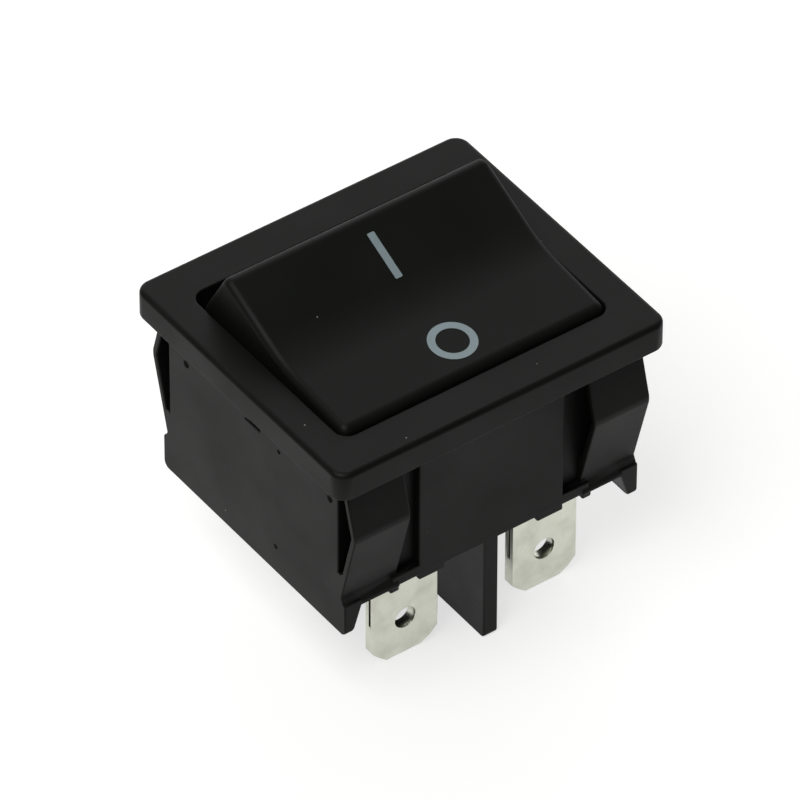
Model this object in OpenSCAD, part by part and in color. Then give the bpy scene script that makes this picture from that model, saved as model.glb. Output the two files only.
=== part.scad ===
// Double-pole rocker switch for panel mounting, with snap-in arms and quick-connect tabs.
// The origin is the middle of the bezel's underside, where it seats on the panel.
// +Z points out of the panel and +X along the bezel's longer side.
// The rocker rests with its O end (-Y) pressed, so both poles are open.

/* [Bezel] */
// Length of the bezel, along X
bezel_w = 24; // [23:0.1:30]
// Width of the bezel, along Y
bezel_d = 21.1; // [20:0.1:28]
// Height of the bezel above the panel
bezel_h = 2; // [1.4:0.1:2.6]
// Corner radius of the bezel, seen from above
bezel_corner_r = 1; // [0.6:0.1:1.6]
// Radius of the bezel's rolled upper edge
bezel_edge_r = 0.35; // [0.2:0.05:0.5]

/* [Body] */
// Length of the body behind the panel, along X
body_w = 21.6; // [21.2:0.1:22.4]
// Width of the body across its raised end panels, along Y
body_d = 18.5; // [18.2:0.02:19.2]
// Depth from the panel's face to the underside of the floor
body_h = 10.2; // [9.8:0.1:13]
// Thickness of the floor that carries the terminals
floor_t = 1; // [0.8:0.1:1.4]
// Thickness of the side walls that carry the rocker
side_wall_t = 1.05; // [1:0.05:1.4]
// Thickness of the end walls behind the snap arms
end_wall_t = 0.85; // [0.7:0.05:1.1]
// Height of the raised panels on the end walls
panel_t = 0.6; // [0.4:0.02:0.8]
// Length of the raised end panels, along X
panel_w = 10.6; // [9:0.1:11.2]
// Corner radius of the opening for the rocker
opening_corner_r = 0.9; // [0.5:0.1:1]
// Drop of the side skirts below the floor
skirt_drop = 2; // [1:0.05:3]
// Thickness of a side skirt at its root
skirt_root_t = 1.25; // [1:0.05:1.35]
// Thickness of a side skirt at its lower edge
skirt_edge_t = 0.6; // [0.4:0.05:0.9]
// Radius of a side skirt's lower corners
skirt_corner_r = 0.5; // [0.2:0.05:0.8]
// Length of each lip under the end panels, along X
lip_w = 1.9; // [1:0.05:2.6]
// Drop of the lips below the floor
lip_drop = 0.4; // [0.2:0.05:0.8]
// Thickness of the barrier and of the inner wall between the poles
barrier_t = 1.05; // [0.8:0.05:1.4]
// Radius of the barrier's lower corners
barrier_corner_r = 0.3; // [0.1:0.05:1.5]
// Drop of the barrier below the floor
barrier_drop = 7.8; // [7.5:0.05:9.5]
// Height of the inner wall between the poles, above the floor
pole_wall_h = 3.7; // [2:0.1:4]
// Length of the mould mark in the outer face of each side wall
mark_l = 1.45; // [0.8:0.05:2]
// Height of the mould mark at its taller end
mark_h = 0.4; // [0.2:0.05:0.6]
// Height of the mould mark at its lower end
mark_low_h = 0.1; // [0.05:0.05:0.15]
// Depth of the mould mark
mark_depth = 0.2; // [0.1:0.05:0.25]

/* [Snap arms] */
// Width of each snap arm, along X
arm_w = 4.05; // [3.4:0.05:4.6]
// Thickness of each snap arm
arm_t = 0.45; // [0.35:0.05:0.6]
// Gap between an arm's free end and the bezel
arm_gap = 0.4; // [0.2:0.05:0.8]
// How far an arm's free end stands out from the end panel
arm_tip_out = 0.24; // [0.1:0.02:0.4]
// How far the bulge of an arm stands out from the end panel
arm_bulge_out = 1.16; // [0.8:0.02:1.3]
// Depth of the bulge below the panel's face
arm_bulge_h = 3.75; // [2.75:0.05:4.5]
// Radius of the bulge's ridge
arm_bulge_r = 1.8; // [1:0.1:2]
// Depth of the slot behind each arm
arm_slot_h = 7.4; // [6.5:0.1:8]
// How far the root of an arm lies behind the end panel
arm_root_in = 0.26; // [0.1:0.02:0.3]
// How far the foot below each arm stands out from the end panel
arm_foot_out = 0.1; // [0.06:0.02:0.3]
// Height of the straight foot below each arm
arm_foot_h = 0.2; // [0.1:0.05:0.6]
// Height of the ramp from the foot up to the arm's root
arm_ramp_h = 0.75; // [0.4:0.05:0.9]
// Length of the lip under the inner end of each arm's foot, along X
foot_lip_w = 0.65; // [0.4:0.05:1]
// Height of the web from each arm's foot to the end panel
arm_web_h = 0.8; // [0.4:0.05:1.2]

/* [Terminals] */
// Distance of each pole from the middle of the switch, along X
pole_x = 5.15; // [5:0.05:5.5]
// Width of a tab
tab_w = 4.75; // [4.2:0.05:5.2]
// Thickness of the strip, which is folded double in each tab
strip_t = 0.4; // [0.3:0.05:0.5]
// Length of a tab from its tip to its shoulders
tab_l = 6.2; // [5.5:0.1:7]
// Drop of the tab tips below the floor
tab_drop = 7.65; // [7:0.05:9]
// Corner cut at the tip of a tab
tab_chamfer = 1.1; // [0.6:0.05:1.4]
// Depth of the lead-in bevel on each face of a tab's tip
tab_bevel = 0.15; // [0.05:0.01:0.25]
// Diameter of the hole in a tab
tab_hole_d = 1.5; // [1:0.1:1.8]
// Distance of the hole from the tip of a tab
tab_hole_up = 2.95; // [2.2:0.05:3.4]
// Radius of a tab's shoulders
shoulder_r = 0.5; // [0.3:0.05:0.6]
// Width of the neck that passes through the floor
neck_w = 3.8; // [3.6:0.1:4]
// Width of the open seam along a tab's folded edge
seam_w = 0.2; // [0.1:0.02:0.3]
// Depth of the open seam
seam_depth = 0.9; // [0.5:0.05:1.2]
// Length of the open seam below the floor
seam_l = 4.5; // [3:0.1:5]

/* [Contacts] */
// Width of a contact blade
blade_w = 3.8; // [3.4:0.1:4.2]
// Thickness of a contact blade
blade_t = 0.4; // [0.3:0.05:0.5]
// Tilt of a contact blade each way from level
blade_tilt = 8; // [7:0.5:9]
// Distance of each bend from the middle of a blade
bend_y = 1.8; // [1.6:0.1:2]
// Distance of the moving contact from its bend
contact_reach = 4.2; // [4:0.05:4.25]
// Length of the blade's wing under the moving contact
contact_wing = 5.3; // [5.1:0.1:5.4]
// Length of the blade's other wing
stop_wing = 2.8; // [2.4:0.1:3.2]
// Diameter of a contact rivet's head
contact_d = 2.6; // [2.2:0.1:2.8]
// Height of a contact rivet's head
contact_h = 0.5; // [0.4:0.05:0.6]
// Bevel round the face of a contact rivet's head
contact_bevel = 0.12; // [0.05:0.01:0.2]
// Diameter of a contact rivet's shank
rivet_d = 1.2; // [1:0.1:1.4]
// Diameter of a contact rivet's closed tail
rivet_tail_d = 1.7; // [1.6:0.1:2]
// Height of a contact rivet's closed tail
rivet_tail_h = 0.25; // [0.15:0.05:0.35]
// Margin of a fixed terminal's flange past the head of its contact
flange_margin = 0.25; // [0.1:0.05:0.4]
// Length of the floor's rest under a blade's other wing, along Y
stop_d = 1.4; // [1:0.1:2]
// Width of each ear of the cradle
ear_w = 0.5; // [0.4:0.05:0.6]
// Height of the cradle's ears above the underside of a level blade
ear_h = 0.9; // [0.6:0.05:1]

/* [Rocker] */
// Tilt of the rocker each way from level
rocker_tilt = 15; // [12:0.5:16]
// Depth of the rocker's pivot below the panel's face
pivot_h = 1.5; // [1.3:0.1:2]
// Height of the crown's valley above the pivot
crown_h = 4.65; // [4.4:0.05:5.2]
// Slope of the crown's two wings
wing_slope = 10; // [6:0.1:11]
// Radius of the valley between the wings
valley_r = 9; // [7:0.5:17]
// Radius of the rolled edge at each end of the crown
rocker_end_r = 0.6; // [0.55:0.05:1.2]
// Radius of the rolled edge along each side of the crown and down its corners
rocker_side_r = 0.5; // [0.3:0.05:0.5]
// Thickness of the crown over the hollow, at the valley
crown_t = 1.3; // [1.1:0.05:1.5]
// Thickness of the rocker's side walls
rocker_side_t = 1.2; // [0.9:0.05:1.4]
// Thickness of the rocker's end skirts
rocker_end_t = 1.2; // [0.9:0.05:1.4]
// Reach of each end skirt past level when that end is pressed, in degrees
rocker_skirt_angle = 20; // [17:0.5:21]
// Diameter of the trunnions
trunnion_d = 2.4; // [2:0.1:2.8]
// Length of each trunnion
trunnion_l = 0.7; // [0.6:0.05:0.8]
// Width of the wall round each trunnion
trunnion_wall = 0.9; // [0.6:0.05:1.1]

/* [Plungers and springs] */
// Diameter of a plunger
plunger_d = 2.6; // [2.2:0.1:2.8]
// Reach of a plunger's nose out of its sleeve
plunger_out = 2.9; // [2.6:0.1:3.2]
// Length of a plunger inside its sleeve
plunger_guide = 1.6; // [1.2:0.1:2]
// Diameter of the spigot inside the spring
spigot_d = 1.3; // [1:0.1:1.4]
// Length of the spigot
spigot_l = 1; // [0.6:0.1:1.4]
// Wall of the sleeves in the rocker
sleeve_wall = 0.75; // [0.6:0.05:0.9]
// Crown left over the end of each sleeve's bore
bore_cover = 1.65; // [1.5:0.05:1.8]
// Outer diameter of a spring
spring_d = 2.4; // [2:0.05:2.45]
// Diameter of the spring wire
wire_d = 0.35; // [0.25:0.01:0.36]
// Turns of a spring
spring_turns = 6; // [5:1:7]

/* [Clearances] */
// Gap between the rocker's sides and the opening
rocker_gap_x = 0.2; // [0.15:0.05:0.3]
// Gap between the rocker's pressed end and the opening
rocker_gap_y = 0.25; // [0.2:0.05:0.4]
// Radial clearance of the trunnions in their sockets
trunnion_clear = 0.05; // [0.02:0.01:0.1]
// Gap past the end of each trunnion
socket_end_clear = 0.1; // [0.05:0.05:0.2]
// Radial clearance of the plungers in their sleeves
plunger_clear = 0.05; // [0.02:0.01:0.1]
// Clearance of a terminal's neck in the floor
neck_clear = 0.03; // [0.01:0.01:0.1]
// Clearance of a rivet in its hole
rivet_clear = 0.02; // [0.01:0.01:0.05]
// Gap between a fixed terminal and the end wall
terminal_gap = 0.14; // [0.1:0.02:0.2]
// Gap between a blade and the rounded edge that it rocks on
fulcrum_clear = 0.03; // [0.02:0.01:0.05]
// Gap between a blade's waist and the cradle's ears
ear_clear = 0.15; // [0.1:0.01:0.2]
// Gap between the closed contacts, and between a blade and its stop
contact_clear = 0.03; // [0.02:0.01:0.06]
// Gap between a plunger's nose and its blade in the middle of the travel
nose_clear = 0.05; // [0.03:0.01:0.1]
// Gap at each end of a spring, and between its closed turns
spring_clear = 0.03; // [0.02:0.01:0.05]

/* [Hidden] */
$fn = 64;

// Colours of the finishes
plastic_black = [0.13, 0.135, 0.13];
tin = [0.78, 0.79, 0.75];
copper = [0.72, 0.45, 0.3];
silver = [0.85, 0.85, 0.84];
spring_steel = [0.6, 0.61, 0.62];
nylon = [0.9, 0.9, 0.86];

// Spare length by which a cutting shape passes the face that it cuts
cut = 0.5;
// Factor by which a rolled edge's radius passes its faces, so that it crosses them cleanly
roll_over = 1.005;
// Where a curved run of an edge cut meets a straight one: its overlap in degrees, and its smaller radius
turn_overlap = 0.05;
turn_roll = 0.99;

// Housing
opening_w = body_w - 2 * side_wall_t;
core_d = body_d - 2 * panel_t;
opening_d = core_d - 2 * end_wall_t;
floor_top_z = floor_t - body_h;
foot_y = body_d / 2 + arm_foot_out;
tab_tip_z = -body_h - tab_drop;
socket_l = trunnion_l - rocker_gap_x + socket_end_clear;
pole_sides = [-1, 1];

// Rocker, seen along X with the pivot at the origin
pivot_z = -pivot_h;
rocker_w = opening_w - 2 * rocker_gap_x;
wall_r = opening_d / 2 - rocker_gap_y;
wing_z0 = crown_h + valley_r - valley_r / cos(wing_slope);
valley_end = [valley_r * sin(wing_slope), crown_h + valley_r * (1 - cos(wing_slope))];
wall_foot = [wall_r * cos(rocker_tilt), wall_r * sin(rocker_tilt)];
roll_det = -cos(rocker_tilt - wing_slope);
roll_top = wing_z0 * cos(wing_slope) - rocker_end_r;
roll_wall = wall_r - rocker_end_r;
roll_center = [
    (roll_top * sin(rocker_tilt) - cos(wing_slope) * roll_wall) / roll_det,
    (-sin(wing_slope) * roll_wall - cos(rocker_tilt) * roll_top) / roll_det
];
roll_on_wall = roll_center + rocker_end_r * [cos(rocker_tilt), sin(rocker_tilt)];
roll_on_wing = roll_center + rocker_end_r * [-sin(wing_slope), cos(wing_slope)];
roll_wall_z = roll_on_wall[1] * cos(rocker_tilt) - roll_on_wall[0] * sin(rocker_tilt);
rocker_skirt_z = -wall_r * sin(rocker_skirt_angle - rocker_tilt);
hollow_r = wall_r - rocker_end_t;
hollow_z = crown_h - crown_t;

// Contacts: the wing under the moving contact lies level when the pole is closed, and a blade
// turns about the middle of the rounded edge, at fulcrum_z, so that it stays tangent to it
tab_t = 2 * strip_t;
flange_top_z = floor_top_z + strip_t;
tail_pocket_h = rivet_tail_h + contact_clear;
blade_rise = tab_t / 2 + fulcrum_clear;
level_wing_z = flange_top_z + 2 * contact_h + contact_clear;
fulcrum_z = level_wing_z + bend_y * sin(blade_tilt) - blade_rise * cos(blade_tilt);
level_bend_y = bend_y * cos(blade_tilt) + blade_rise * sin(blade_tilt);
contact_y = -(level_bend_y + contact_reach);
fixed_tab_y = -(opening_d / 2 - terminal_gap - strip_t);
flange_end_y = contact_y + contact_d / 2 + flange_margin;
ear_gap = neck_w - 2 * ear_w;
waist_w = ear_gap - 2 * ear_clear;
stop_y = level_bend_y + stop_wing / 2;

// Plungers and springs, seen with the rocker level and the pivot at the origin
nose_reach = pivot_z - fulcrum_z - blade_rise - blade_t - nose_clear;
sleeve_end = -(nose_reach - plunger_out);
plunger_top = sleeve_end + plunger_guide;
bore_d = plunger_d + 2 * plunger_clear;
bore_top = crown_h - bore_cover;
coil_bottom = plunger_top + spring_clear;
coil_top = bore_top - spring_clear;
coil_sides = 8;
coil_steps = 16;

// Extrudes a drawing along +Y; the drawing's own axes become X and Z
module along_y(length) mirror([0, 1, 0]) rotate([90, 0, 0]) linear_extrude(length) children();

// Extrudes a drawing both ways along X; the drawing's own axes become Y and Z
module across_x(length) rotate([90, 0, 90]) linear_extrude(length, center = true) children();

// Rectangle with rounded corners, centred on the origin
module round_rect(w, d, r) {
    square([w - 2 * r, d], center = true);
    square([w, d - 2 * r], center = true);
    for (x = [-1, 1], y = [-1, 1])
        translate([x * (w / 2 - r), y * (d / 2 - r)]) circle(r);
}

// Upright section with its two upper corners rounded
module rolled_section(w, h, r) {
    translate([-w / 2, 0]) square([w, h - r]);
    translate([-w / 2 + r, 0]) square([w - 2 * r, h]);
    for (x = [-1, 1]) translate([x * (w / 2 - r), h - r]) circle(r);
}

// Slab with rounded plan corners and a rolled upper edge
module rolled_slab(w, d, h, corner_r, edge_r) {
    for (x = [0, 1], y = [0, 1])
        mirror([x, 0, 0]) mirror([0, y, 0]) translate([w / 2 - corner_r, d / 2 - corner_r, 0])
            rotate_extrude(angle = 90) intersection() {
                rolled_section(2 * corner_r, h, edge_r);
                square([corner_r, h]);
            }
    translate([0, corner_r - d / 2, 0]) along_y(d - 2 * corner_r) rolled_section(w, h, edge_r);
    across_x(w - 2 * corner_r) rolled_section(d, h, edge_r);
}

// What is cut from a square edge at the origin to round it; the part lies at negative X and Y
module edge_waste(r) {
    difference() {
        translate([-r, -r]) square(r + cut);
        translate([-r, -r]) circle(r * roll_over);
    }
}

// Side of one snap arm and its foot, drawn with Y outwards and Z up
module arm_side() {
    panel_y = body_d / 2;
    root = [panel_y - arm_root_in, arm_foot_h + arm_ramp_h - body_h];
    bulge = [panel_y + arm_bulge_out, -arm_bulge_h];
    tip = [panel_y + arm_tip_out, -arm_gap];
    slot_y = lookup(-arm_slot_h, [[root[1], root[0]], [bulge[1], bulge[0]]]);
    up = (tip - bulge) / norm(tip - bulge);
    down = (root - bulge) / norm(root - bulge);
    inward = (up + down) / norm(up + down);
    half_angle = acos(up * inward);
    difference() {
        polygon([
            [core_d / 2 - cut, -body_h], [foot_y, -body_h], [foot_y, arm_foot_h - body_h],
            root, bulge, tip, tip - [arm_t, 0], bulge - [arm_t, 0],
            [slot_y - arm_t, -arm_slot_h], [core_d / 2 - cut, -arm_slot_h]
        ]);
        difference() {
            polygon([
                bulge + up * arm_bulge_r / tan(half_angle), bulge + down * arm_bulge_r / tan(half_angle),
                bulge - cut * inward
            ]);
            translate(bulge + inward * arm_bulge_r / sin(half_angle))
                circle(arm_bulge_r * roll_over, $fn = 256);
        }
    }
}

// Side wall's skirt, drawn with X outwards and Z up
module skirt_section() {
    polygon([
        [body_w / 2, cut - body_h], [body_w / 2, -body_h - skirt_drop],
        [body_w / 2 - skirt_edge_t, -body_h - skirt_drop], [body_w / 2 - skirt_root_t, -body_h],
        [body_w / 2 - skirt_root_t, cut - body_h]
    ]);
}

// What is cut from a side skirt to round its lower corners
module skirt_corner_waste() {
    for (y = [0, 1]) mirror([0, y, 0])
        translate([(body_w - skirt_root_t) / 2, foot_y, -body_h - skirt_drop])
            across_x(skirt_root_t + 2 * cut) mirror([0, 1]) edge_waste(skirt_corner_r);
}

// Walls of the body, its end panels and its floor, before they are hollowed
module body_block() {
    translate([-body_w / 2, -core_d / 2, -body_h]) cube([body_w, core_d, body_h + cut]);
    translate([-panel_w / 2, -body_d / 2, -body_h]) cube([panel_w, body_d, body_h + cut]);
    for (x = [0, 1]) mirror([x, 0, 0]) {
        for (y = [0, 1]) mirror([0, y, 0]) {
            translate([body_w / 2 - arm_w / 2, 0, 0]) across_x(arm_w) arm_side();
            translate([panel_w / 2 - cut, 0, -body_h])
                cube([body_w / 2 - arm_w - panel_w / 2 + 2 * cut, body_d / 2, arm_web_h]);
            translate([panel_w / 2 - lip_w, body_d / 2 - panel_t, -body_h - lip_drop])
                cube([lip_w, panel_t, lip_drop + cut]);
            translate([body_w / 2 - arm_w, body_d / 2 - panel_t, -body_h - lip_drop])
                cube([foot_lip_w, panel_t, lip_drop + cut]);
        }
        translate([0, -foot_y, 0]) along_y(2 * foot_y) skirt_section();
    }
}

// Plate that keeps the two poles apart below the floor
module barrier() {
    translate([0, 0, floor_t / 2 - body_h]) across_x(barrier_t)
        mirror([0, 1]) rolled_section(body_d, barrier_drop + floor_t / 2, barrier_corner_r);
}

// Slots in the floor for one pole's two terminals, and the pocket under its fixed contact
module floor_cuts() {
    for (y = [0, fixed_tab_y])
        translate([-neck_w / 2 - neck_clear, y - strip_t - neck_clear, -body_h - cut])
            cube([neck_w + 2 * neck_clear, tab_t + 2 * neck_clear, floor_t + 2 * cut]);
    translate([0, contact_y, floor_top_z - tail_pocket_h])
        cylinder(h = tail_pocket_h + cut, d = rivet_tail_d + 2 * rivet_clear);
}

// Rest for the raised end of one blade
module blade_stop() {
    stop_h = level_wing_z - contact_clear - floor_top_z;
    translate([0, stop_y, floor_top_z + stop_h / 2 - cut / 2])
        cube([waist_w, stop_d, stop_h + cut], center = true);
}

// Wedge-shaped mould mark beside the pivot, on the outer face of a side wall
module mould_mark() {
    translate([body_w / 2, 0, pivot_z - mark_h]) across_x(2 * mark_depth)
        translate([0, -mark_h / 2])
            polygon([[mark_l / 2, 0], [mark_l / 2, mark_low_h], [-mark_l / 2, mark_h], [-mark_l / 2, 0]]);
}

// Bezel, body, snap arms, skirts and barrier in one moulding
module housing() color(plastic_black) {
    difference() {
        union() {
            rolled_slab(bezel_w, bezel_d, bezel_h, bezel_corner_r, bezel_edge_r);
            body_block();
            barrier();
        }
        translate([0, 0, floor_top_z]) linear_extrude(bezel_h - floor_top_z + cut)
            round_rect(opening_w, opening_d, opening_corner_r);
        for (x = [0, 1]) mirror([x, 0, 0]) {
            translate([opening_w / 2 - cut, 0, pivot_z]) rotate([0, 90, 0])
                cylinder(h = cut + socket_l, d = trunnion_d + 2 * trunnion_clear);
            mould_mark();
            skirt_corner_waste();
        }
        for (x = pole_sides) translate([x * pole_x, 0, 0]) floor_cuts();
    }
    translate([-barrier_t / 2, -opening_d / 2 - end_wall_t / 2, floor_top_z - floor_t / 2])
        cube([barrier_t, opening_d + end_wall_t, pole_wall_h + floor_t / 2]);
    for (x = pole_sides) translate([x * pole_x, 0, 0]) blade_stop();
}

// Sets a part that is drawn with the rocker level into its resting place
module in_rocker(x = 0) translate([x, 0, pivot_z]) rotate([rocker_tilt, 0, 0]) children();

// Side of the rocker: crown, end walls and skirts, drawn round the pivot
module rocker_side() {
    difference() {
        union() {
            polygon([for (s = [1, -1]) each
                let (points = [wall_foot, roll_on_wall, roll_on_wing, valley_end])
                [for (i = [0 : 3]) let (p = points[s > 0 ? i : 3 - i]) [s * p[0], p[1]]]]);
            for (s = [-1, 1]) translate([s * roll_center[0], roll_center[1]]) circle(rocker_end_r);
        }
        translate([0, crown_h + valley_r]) circle(valley_r, $fn = 256);
    }
    intersection() {
        circle(wall_r);
        translate([-wall_r, rocker_skirt_z]) square([2 * wall_r, wall_foot[1] - rocker_skirt_z]);
    }
    circle(trunnion_d / 2 + trunnion_wall);
}

// What is cut from the rocker to roll its edge along each wing, over each end and down to the skirt
module rocker_edge_waste() {
    turn_r = rocker_side_r * turn_roll;
    end_turn = 90 + wing_slope - rocker_tilt + 2 * turn_overlap;
    valley_turn = 2 * wing_slope + 2 * turn_overlap;
    skirt_turn = 2 * rocker_skirt_angle;
    skirt_start = 90 + rocker_tilt + turn_overlap - skirt_turn;
    for (x = [0, 1], y = [0, 1]) mirror([x, 0, 0]) mirror([0, y, 0]) {
        translate([rocker_w / 2, valley_end[0], valley_end[1]]) rotate([wing_slope, 0, 0])
            along_y(norm(roll_on_wing - valley_end)) edge_waste(rocker_side_r);
        translate([0, roll_center[0], roll_center[1]]) rotate([0, 90, 0])
            rotate_extrude(angle = end_turn, start = 90 + rocker_tilt - turn_overlap)
                translate([rocker_end_r, rocker_w / 2]) edge_waste(turn_r);
        rotate([rocker_tilt, 0, 0]) translate([rocker_w / 2, wall_r, 0])
            linear_extrude(roll_wall_z) edge_waste(rocker_side_r);
        rotate([0, 90, 0])
            rotate_extrude(angle = skirt_turn, start = skirt_start, $fn = 256)
                translate([wall_r, rocker_w / 2]) edge_waste(turn_r);
    }
    for (x = [0, 1]) mirror([x, 0, 0])
        translate([0, 0, crown_h + valley_r]) rotate([0, 90, 0])
            rotate_extrude(angle = valley_turn, start = -valley_turn / 2, $fn = 256)
                translate([valley_r, rocker_w / 2]) rotate(90) edge_waste(turn_r);
}

// Hollow under the crown, drawn round the pivot
module rocker_hollow() {
    intersection() {
        circle(hollow_r);
        translate([-hollow_r, -hollow_r]) square([2 * hollow_r, hollow_r + hollow_z]);
    }
}

// Crown, skirts, trunnions and spring sleeves in one moulding
module rocker() color(plastic_black) in_rocker() difference() {
    union() {
        difference() {
            across_x(rocker_w) rocker_side();
            rocker_edge_waste();
            across_x(rocker_w - 2 * rocker_side_t) rocker_hollow();
        }
        for (x = [0, 1]) mirror([x, 0, 0])
            translate([rocker_w / 2 - rocker_side_t / 2, 0, 0]) rotate([0, 90, 0])
                cylinder(h = trunnion_l + rocker_side_t / 2, d = trunnion_d);
        for (x = pole_sides) translate([x * pole_x, 0, sleeve_end])
            cylinder(h = hollow_z - sleeve_end + crown_t / 2, d = bore_d + 2 * sleeve_wall);
    }
    for (x = pole_sides) translate([x * pole_x, 0, sleeve_end - cut])
        cylinder(h = bore_top - sleeve_end + cut, d = bore_d);
}

// Round-nosed pin that slides in a sleeve and carries its spring
module plunger(side) color(nylon) in_rocker(side * pole_x) rotate_extrude() {
    nose_z = plunger_d / 2 - nose_reach;
    intersection() {
        translate([0, nose_z]) circle(plunger_d / 2);
        translate([0, -nose_reach]) square([plunger_d / 2, plunger_d / 2]);
    }
    translate([0, nose_z]) square([plunger_d / 2, plunger_top - nose_z]);
    translate([0, nose_z]) square([spigot_d / 2, plunger_top + spigot_l - nose_z]);
}

// Height along the coil at a given turn: the end turns lie closed, the others share the rest
function coil_z(turn) =
    let (closed = wire_d + spring_clear, last = spring_turns - 1,
         rise = (coil_top - coil_bottom - wire_d - 2 * closed) / (spring_turns - 2))
    turn < 1 ? turn * closed
    : turn < last ? closed + (turn - 1) * rise
    : closed + (last - 1) * rise + (turn - last) * closed;

// Compression spring: the round wire is swept along its helix
module spring(side) color(spring_steel) in_rocker(side * pole_x) {
    rings = spring_turns * coil_steps;
    mean_r = (spring_d - wire_d) / 2;
    points = [for (i = [0 : rings], k = [0 : coil_sides - 1])
        let (a = 360 * i / coil_steps, b = 360 * k / coil_sides, r = mean_r + wire_d / 2 * cos(b))
        [r * cos(a), r * sin(a), coil_bottom + wire_d / 2 + coil_z(i / coil_steps) + wire_d / 2 * sin(b)]];
    sides = [for (i = [0 : rings - 1], k = [0 : coil_sides - 1])
        let (n = (k + 1) % coil_sides, j = i * coil_sides)
        [j + k, j + coil_sides + k, j + coil_sides + n, j + n]];
    start_cap = [for (k = [0 : coil_sides - 1]) k];
    end_cap = [for (k = [coil_sides - 1 : -1 : 0]) rings * coil_sides + k];
    polyhedron(points, concat(sides, [start_cap], [end_cap]));
}

// Sets a part that is drawn with its blade level into its resting place
module in_blade(side)
    translate([side * pole_x, 0, fulcrum_z]) rotate([-blade_tilt, 0, 0])
        translate([0, 0, blade_rise]) children();

// Sets a part on the wing under the moving contact
module on_contact_wing()
    translate([0, -bend_y, 0]) rotate([-blade_tilt, 0, 0]) translate([0, -contact_reach, 0]) children();

// Side of a blade: a level middle and two wings that rise from its bends
module blade_side() {
    along = [cos(blade_tilt), sin(blade_tilt)];
    up = [-sin(blade_tilt), cos(blade_tilt)];
    inner_bend = bend_y - blade_t * tan(blade_tilt / 2);
    stop_end = [bend_y, 0] + stop_wing * along;
    contact_end = [bend_y, 0] + contact_wing * along;
    polygon([
        [bend_y, 0], stop_end, stop_end + blade_t * up, [inner_bend, blade_t],
        [-inner_bend, blade_t], [-contact_end[0] - blade_t * up[0], contact_end[1] + blade_t * up[1]],
        [-contact_end[0], contact_end[1]], [-bend_y, 0]
    ]);
}

// See-saw blade with a waist that the cradle's ears hold
module contact_blade(side) color(copper) in_blade(side) difference() {
    across_x(blade_w) blade_side();
    for (x = [0, 1]) mirror([x, 0, 0])
        translate([waist_w / 2, -strip_t - ear_clear, -cut])
            cube([blade_w, tab_t + 2 * ear_clear, blade_t + 2 * cut]);
    on_contact_wing() rivet_hole(blade_t);
}

// Hole for a contact rivet through a sheet that stands on the origin
module rivet_hole(sheet_t)
    translate([0, 0, -cut]) cylinder(h = sheet_t + 2 * cut, d = rivet_d + 2 * rivet_clear);

// Contact rivet: a broad head on one side of a sheet and a closed tail on the other
module contact_rivet(sheet_t) {
    head_r = contact_d / 2;
    rotate_extrude() polygon([
        [0, -contact_h], [head_r - contact_bevel, -contact_h],
        [head_r, contact_bevel - contact_h], [head_r, 0],
        [rivet_d / 2, 0], [rivet_d / 2, sheet_t], [rivet_tail_d / 2, sheet_t],
        [rivet_tail_d / 2, sheet_t + rivet_tail_h / 2], [rivet_d / 2, sheet_t + rivet_tail_h],
        [0, sheet_t + rivet_tail_h]
    ]);
}

// Rivet under the end of a blade
module moving_contact(side) color(silver) in_blade(side) on_contact_wing() contact_rivet(blade_t);

// Outline of a folded tab from its tip to its neck, seen along Y
module tab_outline(neck_top) {
    half = tab_w / 2;
    translate([0, tab_tip_z]) {
        polygon([
            [-half, tab_chamfer], [tab_chamfer - half, 0], [half - tab_chamfer, 0], [half, tab_chamfer],
            [half, tab_l - shoulder_r], [half - shoulder_r, tab_l],
            [shoulder_r - half, tab_l], [-half, tab_l - shoulder_r]
        ]);
        for (x = [-1, 1]) translate([x * (half - shoulder_r), tab_l - shoulder_r]) circle(shoulder_r);
        translate([-neck_w / 2, tab_l / 2]) square([neck_w, neck_top - tab_tip_z - tab_l / 2]);
    }
}

// Edge view of a folded tab, with its lead-in bevel
module tab_edge(neck_top) {
    bevel_h = tab_chamfer / 2;
    polygon([
        [tab_bevel - strip_t, tab_tip_z], [strip_t - tab_bevel, tab_tip_z], [strip_t, tab_tip_z + bevel_h],
        [strip_t, neck_top], [-strip_t, neck_top], [-strip_t, tab_tip_z + bevel_h]
    ]);
}

// Tab and neck of a terminal, with the hole and the open seam of its fold
module folded_tab(neck_top) difference() {
    intersection() {
        translate([0, -strip_t, 0]) along_y(tab_t) tab_outline(neck_top);
        across_x(tab_w + 2 * cut) tab_edge(neck_top);
    }
    translate([0, 0, tab_tip_z + tab_hole_up]) rotate([90, 0, 0])
        cylinder(h = tab_t + 2 * cut, d = tab_hole_d, center = true);
    translate([-tab_w / 2 - cut, -seam_w / 2, -body_h - seam_l]) cube([seam_depth + cut, seam_w, seam_l]);
}

// Tab that ends in a cradle: two ears beside the rounded edge that a blade rocks on
module common_terminal(side) color(tin) translate([side * pole_x, 0, 0]) {
    folded_tab(fulcrum_z);
    translate([0, 0, fulcrum_z]) {
        across_x(ear_gap) circle(tab_t / 2);
        for (x = [-1, 1]) translate([x * (ear_gap + ear_w) / 2, 0, (blade_rise + ear_h) / 2])
            cube([ear_w, tab_t, blade_rise + ear_h], center = true);
    }
}

// Tab that bends over into a flange on the floor, with a hole for its contact
module fixed_terminal(side) color(tin) translate([side * pole_x, 0, 0]) difference() {
    union() {
        translate([0, fixed_tab_y, 0]) folded_tab(flange_top_z);
        translate([-neck_w / 2, fixed_tab_y - strip_t, floor_top_z])
            cube([neck_w, flange_end_y - fixed_tab_y + strip_t, strip_t]);
    }
    translate([0, contact_y, floor_top_z]) rivet_hole(strip_t);
}

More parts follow.
